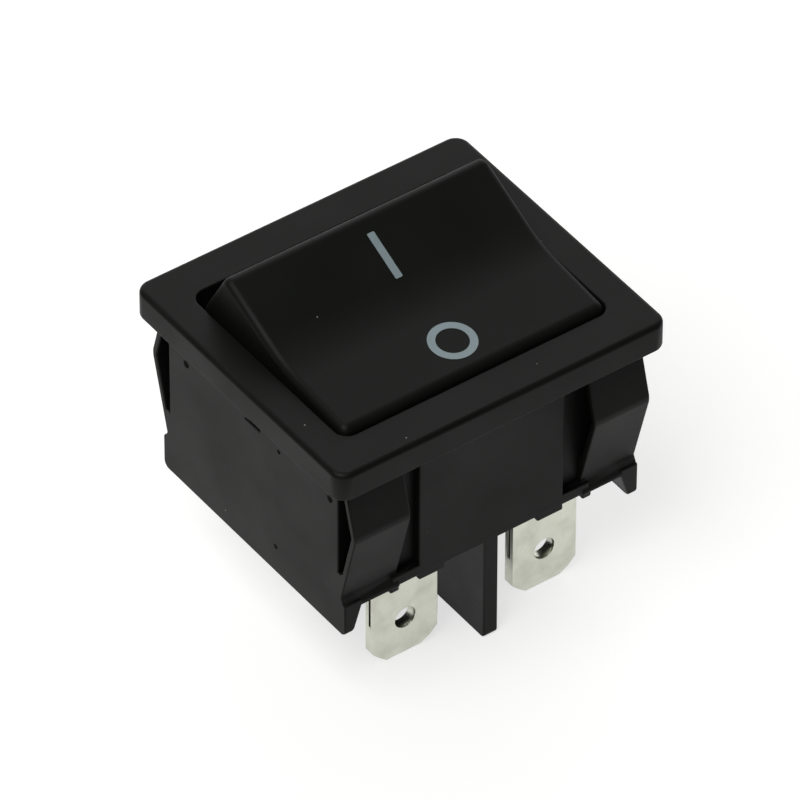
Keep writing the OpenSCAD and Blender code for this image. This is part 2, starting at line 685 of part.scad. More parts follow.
// Rivet on the flange of a fixed terminal
module fixed_contact(side) color(silver)
    translate([side * pole_x, contact_y, flange_top_z]) mirror([0, 0, 1]) contact_rivet(strip_t);

housing();
rocker();
plunger(-1);  // plunger_a
plunger(1);  // plunger_b
spring(-1);  // spring_a
spring(1);  // spring_b
contact_blade(-1);  // contact_blade_a
contact_blade(1);  // contact_blade_b
moving_contact(-1);  // moving_contact_a
moving_contact(1);  // moving_contact_b
common_terminal(-1);  // common_terminal_a
common_terminal(1);  // common_terminal_b
fixed_terminal(-1);  // fixed_terminal_a
fixed_terminal(1);  // fixed_terminal_b
fixed_contact(-1);  // fixed_contact_a
fixed_contact(1);  // fixed_contact_b
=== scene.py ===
"""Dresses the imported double-pole rocker switch and sets it in a plain white studio."""

import logging
import math
from collections import defaultdict
from dataclasses import dataclass
from enum import Enum
from typing import Any, Mapping

import bpy
from mathutils import Matrix, Vector

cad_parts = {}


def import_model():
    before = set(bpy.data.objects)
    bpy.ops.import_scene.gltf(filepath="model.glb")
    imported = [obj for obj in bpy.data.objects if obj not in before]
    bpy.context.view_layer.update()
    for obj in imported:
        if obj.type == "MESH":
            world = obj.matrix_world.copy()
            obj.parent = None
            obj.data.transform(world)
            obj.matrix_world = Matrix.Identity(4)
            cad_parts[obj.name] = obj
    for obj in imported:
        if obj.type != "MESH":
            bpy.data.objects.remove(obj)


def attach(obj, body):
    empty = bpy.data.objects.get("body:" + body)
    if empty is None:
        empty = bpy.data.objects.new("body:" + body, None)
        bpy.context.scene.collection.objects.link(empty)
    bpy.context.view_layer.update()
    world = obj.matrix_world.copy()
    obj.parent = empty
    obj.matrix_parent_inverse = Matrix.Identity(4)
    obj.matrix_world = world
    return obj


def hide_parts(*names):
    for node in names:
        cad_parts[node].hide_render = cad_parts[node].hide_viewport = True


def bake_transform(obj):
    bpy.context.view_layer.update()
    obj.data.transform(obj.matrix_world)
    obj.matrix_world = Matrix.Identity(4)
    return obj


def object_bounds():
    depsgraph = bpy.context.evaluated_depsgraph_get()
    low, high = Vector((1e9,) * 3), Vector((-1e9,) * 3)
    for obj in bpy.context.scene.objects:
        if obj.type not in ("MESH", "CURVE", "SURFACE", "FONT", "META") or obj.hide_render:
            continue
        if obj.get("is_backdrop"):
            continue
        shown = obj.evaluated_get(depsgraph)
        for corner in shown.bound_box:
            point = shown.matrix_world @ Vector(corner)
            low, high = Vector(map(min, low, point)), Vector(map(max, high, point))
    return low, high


LOG = logging.getLogger("rocker_switch")
MM = 0.001
# Corners of a solid's loose triangles that lie this close are one corner
MERGE_MM = 0.001
# Faces that turn by less than this are one face
FLAT_DEG = 0.3
# Nearly all values of a noise pattern lie between these
NOISE_LOW, NOISE_HIGH = 0.3, 0.7
WHITE = (1.0, 1.0, 1.0, 1.0)
# Sockets of a Mix node set to colours, by number because their names repeat
MIX_SHARE, MIX_FIRST, MIX_SECOND, MIX_RESULT = 0, 6, 7, 2
# The switch has two poles, and its sides carry these letters in the names of the solids
POLES = ("a", "b")


class Slot(Enum):
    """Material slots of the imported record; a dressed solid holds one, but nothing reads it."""

    BLACK_PLASTIC = "black_plastic"
    TINNED_BRASS = "tinned_brass"
    SPRING_STEEL = "spring_steel"


class Crease(Enum):
    """Which way two faces turn at an edge."""

    OUTER = "outer"
    INNER = "inner"


class Axis(Enum):
    """Direction in which a sheet was rolled or a wire drawn."""

    X = (1.0, 0.0, 0.0)
    Y = (0.0, 1.0, 0.0)
    Z = (0.0, 0.0, 1.0)


def linear(hex_colour: str) -> tuple[float, float, float, float]:
    """Turns an sRGB colour into linear light.

    Args:
        hex_colour: The colour as "#rrggbb".

    Returns:
        Red, green, blue and alpha, from 0 to 1.
    """
    channels = [int(hex_colour[i : i + 2], 16) / 255 for i in (1, 3, 5)]
    red, green, blue = (c / 12.92 if c <= 0.04045 else ((c + 0.055) / 1.055) ** 2.4 for c in channels)
    return red, green, blue, 1.0


def per_mm(size_mm: float) -> float:
    """Gives the texture scale at which a feature has this size on coordinates in metres."""
    return 1 / (size_mm * MM)


def direction(azimuth_deg: float, elevation_deg: float) -> Vector:
    """Gives the way from the switch to a camera or a lamp.

    Args:
        azimuth_deg: Angle round the switch, from -Y towards +X.
        elevation_deg: Angle above the panel's plane.

    Returns:
        The way, one metre long.
    """
    azimuth, elevation = math.radians(azimuth_deg), math.radians(elevation_deg)
    level = math.cos(elevation)
    return Vector((math.sin(azimuth) * level, -math.cos(azimuth) * level, math.sin(elevation)))


def add_node(
    tree: bpy.types.NodeTree,
    kind: str,
    settings: Mapping[str | int, Any] | None = None,
    links: Mapping[str | int, bpy.types.NodeSocket] | None = None,
) -> bpy.types.Node:
    """Adds a shader node with its settings and the links into it.

    Args:
        tree: The node tree of a material or of the world.
        kind: Blender's name for the node's type.
        settings: Values for the node's properties, or for its input sockets by name or number.
        links: Output sockets that feed the node's input sockets, by name or number.

    Returns:
        The new node.
    """
    node = tree.nodes.new(kind)
    for key, value in (settings or {}).items():
        if isinstance(key, str) and hasattr(node, key):
            setattr(node, key, value)
        else:
            node.inputs[key].default_value = value
    for key, socket in (links or {}).items():
        tree.links.new(socket, node.inputs[key])
    return node


def new_material(name: str) -> bpy.types.Material:
    """Makes an empty node material.

    Args:
        name: Name of the material.

    Returns:
        The new material.
    """
    material = bpy.data.materials.new(name)
    material.use_nodes = True
    material.node_tree.nodes.clear()
    return material


def select_only(piece: bpy.types.Object) -> None:
    """Selects one object, makes it active and deselects all others.

    Args:
        piece: The object to select.
    """
    bpy.ops.object.select_all(action="DESELECT")
    piece.select_set(True)
    bpy.context.view_layer.objects.active = piece


def merged_copy(node: str, name: str) -> bpy.types.Object:
    """Copies a solid and joins its loose triangles at their corners.

    Args:
        node: Name of the solid.
        name: Name of the copy.

    Returns:
        The copy, which is selected.
    """
    piece = bpy.data.objects.new(name, bpy.data.objects[node].data.copy())
    bpy.context.scene.collection.objects.link(piece)
    select_only(piece)
    bpy.ops.object.mode_set(mode="EDIT")
    bpy.ops.mesh.select_all(action="SELECT")
    bpy.ops.mesh.remove_doubles(threshold=MERGE_MM * MM)
    bpy.ops.mesh.customdata_custom_splitnormals_clear()
    bpy.ops.object.mode_set(mode="OBJECT")
    return piece


def set_material(piece: bpy.types.Object, material: bpy.types.Material) -> None:
    """Gives a piece one material in place of any other."""
    piece.data.materials.clear()
    piece.data.materials.append(material)


def apply_modifier(piece: bpy.types.Object, kind: str, settings: Mapping[str, Any]) -> None:
    """Adds a modifier to a piece and applies it at once.

    Args:
        piece: The piece that the modifier changes.
        kind: Blender's name for the modifier's type.
        settings: Values for the modifier's properties.
    """
    select_only(piece)
    bpy.ops.object.modifier_add(type=kind)
    modifier = piece.modifiers[-1]
    for key, value in settings.items():
        setattr(modifier, key, value)
    bpy.ops.object.modifier_apply(modifier=modifier.name)


@dataclass(frozen=True)
class MouldedPolyamide:
    """Black polyamide, moulded in a spark-eroded tool.

    The eye sees a satin black with a faint warm grey sheen, an even fine grain and soft clouds
    where the melt flowed, and a few pale specks of dust.
    """

    name: str = "black_polyamide"
    colour: str = "#0e100d"
    cloud_colour: str = "#121411"
    speck_colour: str = "#9a9b94"
    ior: float = 1.53
    # The grain traps part of the gloss of the bare plastic
    gloss: float = 0.11
    roughness: float = 0.48
    roughness_spread: float = 0.05
    cloud_mm: float = 4.5
    cloud_detail: float = 4.0
    # The real grain is about 0.03 mm, too fine to show, so it is drawn coarser
    grain_mm: float = 0.16
    grain_detail: float = 2.0
    grain_depth_mm: float = 0.006
    grain_strength: float = 0.5
    speck_spacing_mm: float = 2.5
    speck_mm: float = 0.11

    def material(self) -> bpy.types.Material:
        """Builds the material.

        Returns:
            The new material.
        """
        material = new_material(self.name)
        tree = material.node_tree
        place = add_node(tree, "ShaderNodeTexCoord").outputs["Object"]
        cloud = add_node(
            tree,
            "ShaderNodeTexNoise",
            {"Scale": per_mm(self.cloud_mm), "Detail": self.cloud_detail},
            {"Vector": place},
        ).outputs["Fac"]
        grain = add_node(
            tree,
            "ShaderNodeTexNoise",
            {"Scale": per_mm(self.grain_mm), "Detail": self.grain_detail},
            {"Vector": place},
        ).outputs["Fac"]
        speck = add_node(
            tree, "ShaderNodeTexVoronoi", {"Scale": per_mm(self.speck_spacing_mm)}, {"Vector": place}
        ).outputs["Distance"]
        speck_reach = self.speck_mm / 2 / self.speck_spacing_mm
        is_speck = add_node(
            tree,
            "ShaderNodeMapRange",
            {"From Min": speck_reach, "From Max": speck_reach / 2, "To Min": 0.0, "To Max": 1.0},
            {"Value": speck},
        ).outputs["Result"]
        clouded = add_node(
            tree,
            "ShaderNodeMix",
            {"data_type": "RGBA", MIX_FIRST: linear(self.colour), MIX_SECOND: linear(self.cloud_colour)},
            {MIX_SHARE: cloud},
        ).outputs[MIX_RESULT]
        colour = add_node(
            tree,
            "ShaderNodeMix",
            {"data_type": "RGBA", MIX_SECOND: linear(self.speck_colour)},
            {MIX_SHARE: is_speck, MIX_FIRST: clouded},
        ).outputs[MIX_RESULT]
        roughness = add_node(
            tree,
            "ShaderNodeMapRange",
            {
                "From Min": NOISE_LOW,
                "From Max": NOISE_HIGH,
                "To Min": self.roughness - self.roughness_spread,
                "To Max": self.roughness + self.roughness_spread,
            },
            {"Value": cloud},
        ).outputs["Result"]
        bump = add_node(
            tree,
            "ShaderNodeBump",
            {"Strength": self.grain_strength, "Distance": self.grain_depth_mm * MM},
            {"Height": grain},
        ).outputs["Normal"]
        shader = add_node(
            tree,
            "ShaderNodeBsdfPrincipled",
            {"IOR": self.ior, "Specular IOR Level": self.gloss},
            {"Base Color": colour, "Roughness": roughness, "Normal": bump},
        )
        add_node(tree, "ShaderNodeOutputMaterial", links={"Surface": shader.outputs["BSDF"]})
        return material


@dataclass(frozen=True)
class RolledMetal:
    """Metal strip or wire with the fine lines that rolling or drawing leaves along it.

    The eye sees a satin metal whose highlights stretch across the lines, with dull patches from
    handling and slight stains.
    """

    name: str
    colour: str
    stain_colour: str
    roughness: float
    along: Axis
    # The real lines are a few hundredths of a millimetre wide, so they are drawn coarser
    line_mm: float = 0.09
    line_length_mm: float = 4.0
    line_detail: float = 3.0
    line_depth_mm: float = 0.003
    line_strength: float = 0.4
    stain_mm: float = 1.6
    stain_detail: float = 5.0
    # Share of the stain pattern at which a stain starts, and at which it is full
    stain_range: tuple[float, float] = (0.45, 0.75)
    # Bare metal is smoother than the middle value by the first, stained metal rougher by the second
    roughness_spread: tuple[float, float] = (0.06, 0.08)

    def material(self) -> bpy.types.Material:
        """Builds the material.

        Returns:
            The new material.
        """
        material = new_material(self.name)
        tree = material.node_tree
        place = add_node(tree, "ShaderNodeTexCoord").outputs["Object"]
        scale = [per_mm(self.line_length_mm if part else self.line_mm) for part in self.along.value]
        stretched = add_node(
            tree, "ShaderNodeMapping", {"Scale": scale}, {"Vector": place}
        ).outputs["Vector"]
        lines = add_node(
            tree, "ShaderNodeTexNoise", {"Scale": 1.0, "Detail": self.line_detail}, {"Vector": stretched}
        ).outputs["Fac"]
        stain = add_node(
            tree,
            "ShaderNodeTexNoise",
            {"Scale": per_mm(self.stain_mm), "Detail": self.stain_detail},
            {"Vector": place},
        ).outputs["Fac"]
        stained = add_node(
            tree,
            "ShaderNodeMapRange",
            {"From Min": self.stain_range[0], "From Max": self.stain_range[1], "To Min": 0.0, "To Max": 1.0},
            {"Value": stain},
        ).outputs["Result"]
        colour = add_node(
            tree,
            "ShaderNodeMix",
            {"data_type": "RGBA", MIX_FIRST: linear(self.colour), MIX_SECOND: linear(self.stain_colour)},
            {MIX_SHARE: stained},
        ).outputs[MIX_RESULT]
        roughness = add_node(
            tree,
            "ShaderNodeMapRange",
            {
                "From Min": NOISE_LOW,
                "From Max": NOISE_HIGH,
                "To Min": self.roughness - self.roughness_spread[0],
                "To Max": self.roughness + self.roughness_spread[1],
            },
            {"Value": stain},
        ).outputs["Result"]
        bump = add_node(
            tree,
            "ShaderNodeBump",
            {"Strength": self.line_strength, "Distance": self.line_depth_mm * MM},
            {"Height": lines},
        ).outputs["Normal"]
        shader = add_node(
            tree,
            "ShaderNodeBsdfPrincipled",
            {"Metallic": 1.0},
            {"Base Color": colour, "Roughness": roughness, "Normal": bump},
        )
        add_node(tree, "ShaderNodeOutputMaterial", links={"Surface": shader.outputs["BSDF"]})
        return material


@dataclass(frozen=True)
class SoftPlastic:
    """Natural nylon or printing ink, with no fibres or grain.

    The eye sees a soft, even surface whose tone changes slightly from patch to patch.
    """

    name: str
    colour: str
    shade_colour: str
    roughness: float
    ior: float
    patch_mm: float
    patch_detail: float = 3.0

    def material(self) -> bpy.types.Material:
        """Builds the material.

        Returns:
            The new material.
        """
        material = new_material(self.name)
        tree = material.node_tree
        place = add_node(tree, "ShaderNodeTexCoord").outputs["Object"]
        patch = add_node(
            tree,
            "ShaderNodeTexNoise",
            {"Scale": per_mm(self.patch_mm), "Detail": self.patch_detail},
            {"Vector": place},
        ).outputs["Fac"]
        colour = add_node(
            tree,
            "ShaderNodeMix",
            {"data_type": "RGBA", MIX_FIRST: linear(self.colour), MIX_SECOND: linear(self.shade_colour)},
            {MIX_SHARE: patch},
        ).outputs[MIX_RESULT]
        shader = add_node(
            tree,
            "ShaderNodeBsdfPrincipled",
            {"IOR": self.ior, "Roughness": self.roughness},
            {"Base Color": colour},
        )
        add_node(tree, "ShaderNodeOutputMaterial", links={"Surface": shader.outputs["BSDF"]})
        return material


@dataclass(frozen=True)
class StudioPaper:
    """Pale seamless paper that the camera sees as white and that keeps the switch's shadow.

    A painted pool of light, a glow that camera, glossy and transmission rays see, makes it white round the
    switch, and it falls to a light grey farther out.
    """

    name: str = "studio_paper"
    colour: str = "#b6b6b4"
    roughness: float = 0.9
    # Painted glow that the paper gives off, in the painted pool of light and far from it
    painted_pool_glow: float = 0.68
    far_lift: float = 0.25
    # Distances at which the painted pool of light starts to fade and ends
    painted_pool_mm: tuple[float, float] = (46.0, 130.0)

    def material(self) -> bpy.types.Material:
        """Builds the material.

        Returns:
            The new material.
        """
        material = new_material(self.name)
        tree = material.node_tree
        path = add_node(tree, "ShaderNodeLightPath")
        seen = add_node(
            tree,
            "ShaderNodeMath",
            {"operation": "MAXIMUM"},
            {0: path.outputs["Is Camera Ray"], 1: path.outputs["Is Glossy Ray"]},
        ).outputs["Value"]
        seen = add_node(
            tree,
            "ShaderNodeMath",
            {"operation": "MAXIMUM"},
            {0: seen, 1: path.outputs["Is Transmission Ray"]},
        ).outputs["Value"]
        place = add_node(tree, "ShaderNodeTexCoord").outputs["Object"]
        apart = add_node(
            tree, "ShaderNodeVectorMath", {"operation": "LENGTH"}, {0: place}
        ).outputs["Value"]
        # Painted pool of light: the paper's glow is strongest round the switch and fades farther out
        painted_pool = add_node(
            tree,
            "ShaderNodeMapRange",
            {
                "interpolation_type": "SMOOTHSTEP",
                "From Min": self.painted_pool_mm[0] * MM,
                "From Max": self.painted_pool_mm[1] * MM,
                "To Min": self.painted_pool_glow,
                "To Max": self.far_lift,
            },
            {"Value": apart},
        ).outputs["Result"]
        glow = add_node(
            tree, "ShaderNodeMath", {"operation": "MULTIPLY"}, {0: seen, 1: painted_pool}
        ).outputs["Value"]
        shader = add_node(
            tree,
            "ShaderNodeBsdfPrincipled",
            {
                "Base Color": linear(self.colour),
                "Roughness": self.roughness,
                "Specular IOR Level": 0.0,
                "Emission Color": WHITE,
            },
            {"Emission Strength": glow},
        )
        add_node(tree, "ShaderNodeOutputMaterial", links={"Surface": shader.outputs["BSDF"]})
        return material


@dataclass(frozen=True)
class Pit:
    """A small round pit that the tool left in the moulding's left wall."""

    # Y and Z on the wall
    place_mm: tuple[float, float]
    rim_mm: float
    depth_mm: float
    # X of the wall's face
    wall_mm: float = -10.8
    corners: int = 20
    rings: int = 5
    # A square of this many times the rim's size is cut out first, so that the other cuts stay inside it
    patch: float = 1.5

    def select_wall(self, piece: bpy.types.Object) -> None:
        """Selects the faces that lie in the wall's plane.

        Args:
            piece: The moulding, which is then in edit mode.
        """
        bpy.ops.object.mode_set(mode="OBJECT")
        select_only(piece)
        bpy.ops.object.mode_set(mode="EDIT")
        bpy.ops.mesh.select_mode(type="FACE")
        bpy.ops.mesh.select_all(action="DESELECT")
        bpy.ops.object.mode_set(mode="OBJECT")
        on_wall = [abs(vertex.co.x - self.wall_mm * MM) < MERGE_MM * MM for vertex in piece.data.vertices]
        for face in piece.data.polygons:
            face.select = all(on_wall[i] for i in face.vertices)
        bpy.ops.object.mode_set(mode="EDIT")

    def cut_outline(self, piece: bpy.types.Object, corners: int, reach_mm: float) -> None:
        """Cuts an even-sided outline into the selected faces and selects what lies inside it.

        Args:
            piece: The moulding, in edit mode.
            corners: Number of the outline's sides.
            reach_mm: Distance of the sides from the pit's middle.
        """
        middle = Vector((self.wall_mm, *self.place_mm)) * MM
        reach = reach_mm * MM
        turns = [2 * math.pi * corner / corners for corner in range(corners)]
        ways = [Vector((0.0, math.cos(turn), math.sin(turn))) for turn in turns]
        bpy.ops.mesh.hide(unselected=True)
        for way in ways:
            bpy.ops.mesh.select_all(action="SELECT")
            bpy.ops.mesh.bisect(plane_co=middle + way * reach, plane_no=way, threshold=MERGE_MM * MM)
        bpy.ops.object.mode_set(mode="OBJECT")
        for face in piece.data.polygons:
            inside = max((face.center - middle).dot(way) for way in ways) < reach
            face.select = inside and not face.hide
        bpy.ops.object.mode_set(mode="EDIT")
        bpy.ops.mesh.reveal(select=False)

    def cut(self, piece: bpy.types.Object) -> None:
        """Cuts the pit's rim into the wall and sinks it ring by ring, as a ball would press it.

        Args:
            piece: The moulding that gets the pit.
        """
        self.select_wall(piece)
        self.cut_outline(piece, corners=4, reach_mm=self.patch * self.rim_mm)
        self.cut_outline(piece, corners=self.corners, reach_mm=self.rim_mm)
        bpy.ops.mesh.dissolve_faces()
        ball_mm = (self.rim_mm**2 + self.depth_mm**2) / (2 * self.depth_mm)
        steepest = math.asin(self.rim_mm / ball_mm)
        slopes = [steepest * (1 - ring / (self.rings + 1)) for ring in range(self.rings + 1)]
        for outer, inner in zip(slopes, slopes[1:]):
            bpy.ops.mesh.inset(
                thickness=ball_mm * (math.sin(outer) - math.sin(inner)) * MM,
                depth=ball_mm * (math.cos(outer) - math.cos(inner)) * MM,
            )
        self.select_wall(piece)
        bpy.ops.mesh.dissolve_limited(angle_limit=math.radians(FLAT_DEG))
        bpy.ops.mesh.select_mode(type="VERT")
        bpy.ops.object.mode_set(mode="OBJECT")


@dataclass
class DressedSolid:
    """A solid of the switch with its sharp edges rounded as tools and dies leave them."""

    node: str
    body: str
    slot: Slot
    edge_mm: float
    pits: tuple[Pit, ...] = ()
    # Faces that turn by more than this are creased
    crease_deg: float = 9.0
    segments: int = 2
    face_weight: int = 50

    def spot(self, point: Vector) -> tuple[int, int, int]:
        """Gives a point's place as whole steps of the merging distance.

        Args:
            point: The point in metres.

        Returns:
            The steps along X, Y and Z.
        """
        step = MERGE_MM * MM
        return round(point.x / step), round(point.y / step), round(point.z / step)

    def creases(self, mesh: bpy.types.Mesh) -> dict[frozenset, Crease]:
        """Finds the edges where two faces of the solid meet at an angle.

        Args:
            mesh: The solid's loose triangles with their true surface normals.

        Returns:
            The kind of crease for the ends of each such edge.
        """
        sides: dict[frozenset, list[tuple[dict, Vector, Vector]]] = defaultdict(list)
        normals = [corner.vector.copy() for corner in mesh.corner_normals]
        for polygon in mesh.polygons:
            corners = list(polygon.loop_indices)
            points = [mesh.vertices[mesh.loops[i].vertex_index].co for i in corners]
            ends = [self.spot(point) for point in points]
            for here, there, across in ((0, 1, 2), (1, 2, 0), (2, 0, 1)):
                sides[frozenset((ends[here], ends[there]))].append(
                    (
                        {ends[here]: normals[corners[here]], ends[there]: normals[corners[there]]},
                        points[here],
                        points[across],
                    )
                )
        limit = math.radians(self.crease_deg)
        found: dict[frozenset, Crease] = {}
        for edge, pair in sides.items():
            if len(edge) != 2 or len(pair) != 2:
                continue
            (first, start, _), (second, _, away) = pair
            if any(first[end].angle(second[end], 0.0) > limit for end in edge):
                middle = sum(first.values(), Vector())
                found[edge] = Crease.OUTER if middle.dot(away - start) < 0 else Crease.INNER
        return found

    def mark_creases(self, piece: bpy.types.Object) -> None:
        """Marks the solid's creases on its copy and gives the outer ones the weight to be rounded.

        Args:
            piece: The merged copy of the solid.
        """
        creases = self.creases(bpy.data.objects[self.node].data)
        mesh = piece.data
        weights = mesh.attributes.new("bevel_weight_edge", "FLOAT", "EDGE")
        for edge in mesh.edges:
            crease = creases.get(frozenset(self.spot(mesh.vertices[i].co) for i in edge.vertices))
            edge.use_edge_sharp = crease is not None
            weights.data[edge.index].value = float(crease is Crease.OUTER)

    def join_faces(self, piece: bpy.types.Object) -> None:
        """Joins a piece's triangles into faces and leaves only its inner creases sharp.

        Args:
            piece: The copy of the solid with its creases marked.
        """
        select_only(piece)
        bpy.ops.object.mode_set(mode="EDIT")
        bpy.ops.mesh.select_all(action="SELECT")
        bpy.ops.mesh.dissolve_limited(angle_limit=math.radians(FLAT_DEG), delimit={"SHARP"})
        bpy.ops.object.mode_set(mode="OBJECT")
        weights = piece.data.attributes["bevel_weight_edge"]
        for edge in piece.data.edges:
            edge.use_edge_sharp = edge.use_edge_sharp and weights.data[edge.index].value == 0.0

    def build(self, material: bpy.types.Material) -> bpy.types.Object:
        """Copies the solid, rounds its sharp edges and cuts its pits.

        Args:
            material: The finish of the piece.

        Returns:
            The dressed piece, which stands for the solid.
        """
        piece = merged_copy(self.node, f"{self.node}_dressed")
        self.mark_creases(piece)
        self.join_faces(piece)
        apply_modifier(
            piece,
            "BEVEL",
            {
                "width": self.edge_mm * MM,
                "segments": self.segments,
                "limit_method": "WEIGHT",
                "use_clamp_overlap": False,
                "miter_outer": "MITER_ARC",
            },
        )
        for pit in self.pits:
            pit.cut(piece)
        bpy.ops.object.shade_smooth()
        apply_modifier(
            piece, "WEIGHTED_NORMAL", {"mode": "FACE_AREA", "weight": self.face_weight, "keep_sharp": True}
        )
        set_material(piece, material)
        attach(piece, self.body)
        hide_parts(self.node)
        return piece


@dataclass
class CoilSpring:
    """A coil spring in a sleeve of the rocker, copied in the shape its solid has; the real spring shortens
    as its plunger is pushed in.
    """

    pole: str
    # The sleeves lean with the rocker, which rests at this angle
    sleeve_tilt_deg: float = 15.0

    def build(self, material: bpy.types.Material) -> bpy.types.Object:
        """Copies the solid, with one end on the rocker and the other on the plunger.

        Args:
            material: The finish of the wire.

        Returns:
            The spring, which stands for the solid.
        """
        node = f"spring_{self.pole}"
        piece = merged_copy(node, f"{node}_wound")
        bpy.ops.object.shade_smooth()
        set_material(piece, material)
        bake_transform(piece)
        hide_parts(node)
        return piece


@dataclass
class PrintedMark:
    """A pad-printed mark on the rocker's crown, with the thickness of its ink."""

    name: str
    centre_mm: tuple[float, float]
    ink_mm: float = 0.02
    # The crown is sought downwards from this height
    search_mm: float = 1000.0

    def outline(self) -> bpy.types.Object:
        """Draws the mark flat round the origin."""
        raise NotImplementedError

    def build(self, rocker: bpy.types.Object, material: bpy.types.Material) -> bpy.types.Object:
        """Lays the mark on the crown and gives it the ink's thickness.

        Args:
            rocker: The rocker.
            material: The ink.

        Returns:
            The finished mark.
        """
        mark = self.outline()
        mark.name = self.name
        above = Vector([part * MM for part in (*self.centre_mm, self.search_mm)])
        hit, spot, normal, _ = rocker.ray_cast(above, Vector((0.0, 0.0, -1.0)))
        if not hit:
            raise ValueError(f"{self.name} lies off the crown")
        across = Vector((1.0, 0.0, 0.0))
        along = normal.cross(across).normalized()
        frame = Matrix((across, along, normal)).transposed().to_4x4()
        mark.data.transform(Matrix.Translation(spot) @ frame)
        apply_modifier(
            mark,
            "SHRINKWRAP",
            {
                "wrap_method": "PROJECT",
                "use_project_z": True,
                "use_negative_direction": True,
                "use_positive_direction": True,
                "target": rocker,
            },
        )
        apply_modifier(mark, "SOLIDIFY", {"thickness": self.ink_mm * MM, "offset": 1.0})
        set_material(mark, material)
        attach(mark, "rocker")
        return mark


@dataclass
class BarMark(PrintedMark):
    """The bar that marks the closed position."""

    length_mm: float = 3.3
    width_mm: float = 0.5
    corner_mm: float = 0.08
    corner_segments: int = 4

    def outline(self) -> bpy.types.Object:
        """Draws the bar flat round the origin.

        Returns:
            The bar as one flat sheet.
        """
        bpy.ops.object.select_all(action="DESELECT")
        bpy.ops.mesh.primitive_plane_add(size=1.0)
        bpy.ops.object.mode_set(mode="EDIT")
        bpy.ops.transform.resize(value=(self.width_mm * MM, self.length_mm * MM, 1.0))
        bpy.ops.mesh.bevel(offset=self.corner_mm * MM, segments=self.corner_segments, affect="VERTICES")
        bpy.ops.mesh.select_all(action="SELECT")
        bpy.ops.mesh.poke()
        bpy.ops.object.mode_set(mode="OBJECT")
        return bpy.context.object


@dataclass
class RingMark(PrintedMark):
    """The ring that marks the open position."""

    outer_mm: float = 3.05
    line_mm: float = 0.5
    corners: int = 96

    def outline(self) -> bpy.types.Object:
        """Draws the ring flat round the origin.

        Returns:
            The ring as one flat sheet.
        """
        bpy.ops.object.select_all(action="DESELECT")
        bpy.ops.mesh.primitive_circle_add(
            vertices=self.corners, radius=self.outer_mm / 2 * MM, fill_type="NGON"
        )
        bpy.ops.object.mode_set(mode="EDIT")
        bpy.ops.mesh.select_all(action="SELECT")
        bpy.ops.mesh.inset(thickness=self.line_mm * MM)
        bpy.ops.mesh.delete(type="FACE")
        bpy.ops.object.mode_set(mode="OBJECT")
        return bpy.context.object


@dataclass
class PhotoCamera:
    """A long lens that looks down on the switch from its front left corner."""

    azimuth_deg: float = -35.992
    elevation_deg: float = 41.746
    roll_deg: float = 0.162
    distance_mm: float = 600.0
    scale_px_per_mm: float = 16.856
    frame_px: float = 800.0
    sensor_mm: float = 36.0
    origin_px: tuple[float, float] = (400.47, 327.82)
    clip_mm: tuple[float, float] = (10.0, 10000.0)

    def build(self) -> bpy.types.Object:
        """Makes the camera and hands it to the scene.

        Returns:
            The camera.
        """
        back = direction(self.azimuth_deg, self.elevation_deg)
        azimuth = math.radians(self.azimuth_deg)
        right = Vector((math.cos(azimuth), math.sin(azimuth), 0.0))
        up = back.cross(right)
        middle = self.frame_px / 2
        px = MM / self.scale_px_per_mm
        aim = right * (middle - self.origin_px[0]) * px + up * (self.origin_px[1] - middle) * px
        data = bpy.data.cameras.new("camera")
        data.sensor_width = self.sensor_mm
        data.lens = self.scale_px_per_mm * self.distance_mm * self.sensor_mm / self.frame_px
        data.clip_start, data.clip_end = (reach * MM for reach in self.clip_mm)
        camera = bpy.data.objects.new("camera", data)
        bpy.context.scene.collection.objects.link(camera)
        camera.location = back * self.distance_mm * MM
        turn = (aim - camera.location).to_track_quat("-Z", "Y").to_matrix()
        camera.rotation_euler = (turn @ Matrix.Rotation(math.radians(self.roll_deg), 3, "Z")).to_euler()
        bpy.context.scene.camera = camera
        return camera


@dataclass(frozen=True)
class Softbox:
    """A square lamp behind a diffuser, aimed at the switch."""

    name: str
    azimuth_deg: float
    elevation_deg: float
    distance_mm: float
    side_mm: float
    radiance: float

    def build(self) -> bpy.types.Object:
        """Makes the lamp.

        Returns:
            The lamp.
        """
        way = direction(self.azimuth_deg, self.elevation_deg)
        data = bpy.data.lights.new(self.name, "AREA")
        data.shape = "SQUARE"
        data.size = self.side_mm * MM
        data.energy = self.radiance * math.pi * data.size**2
        lamp = bpy.data.objects.new(self.name, data)
        bpy.context.scene.collection.objects.link(lamp)
        lamp.location = way * self.distance_mm * MM
        lamp.rotation_euler = (-way).to_track_quat("-Z", "Y").to_euler()
        return lamp


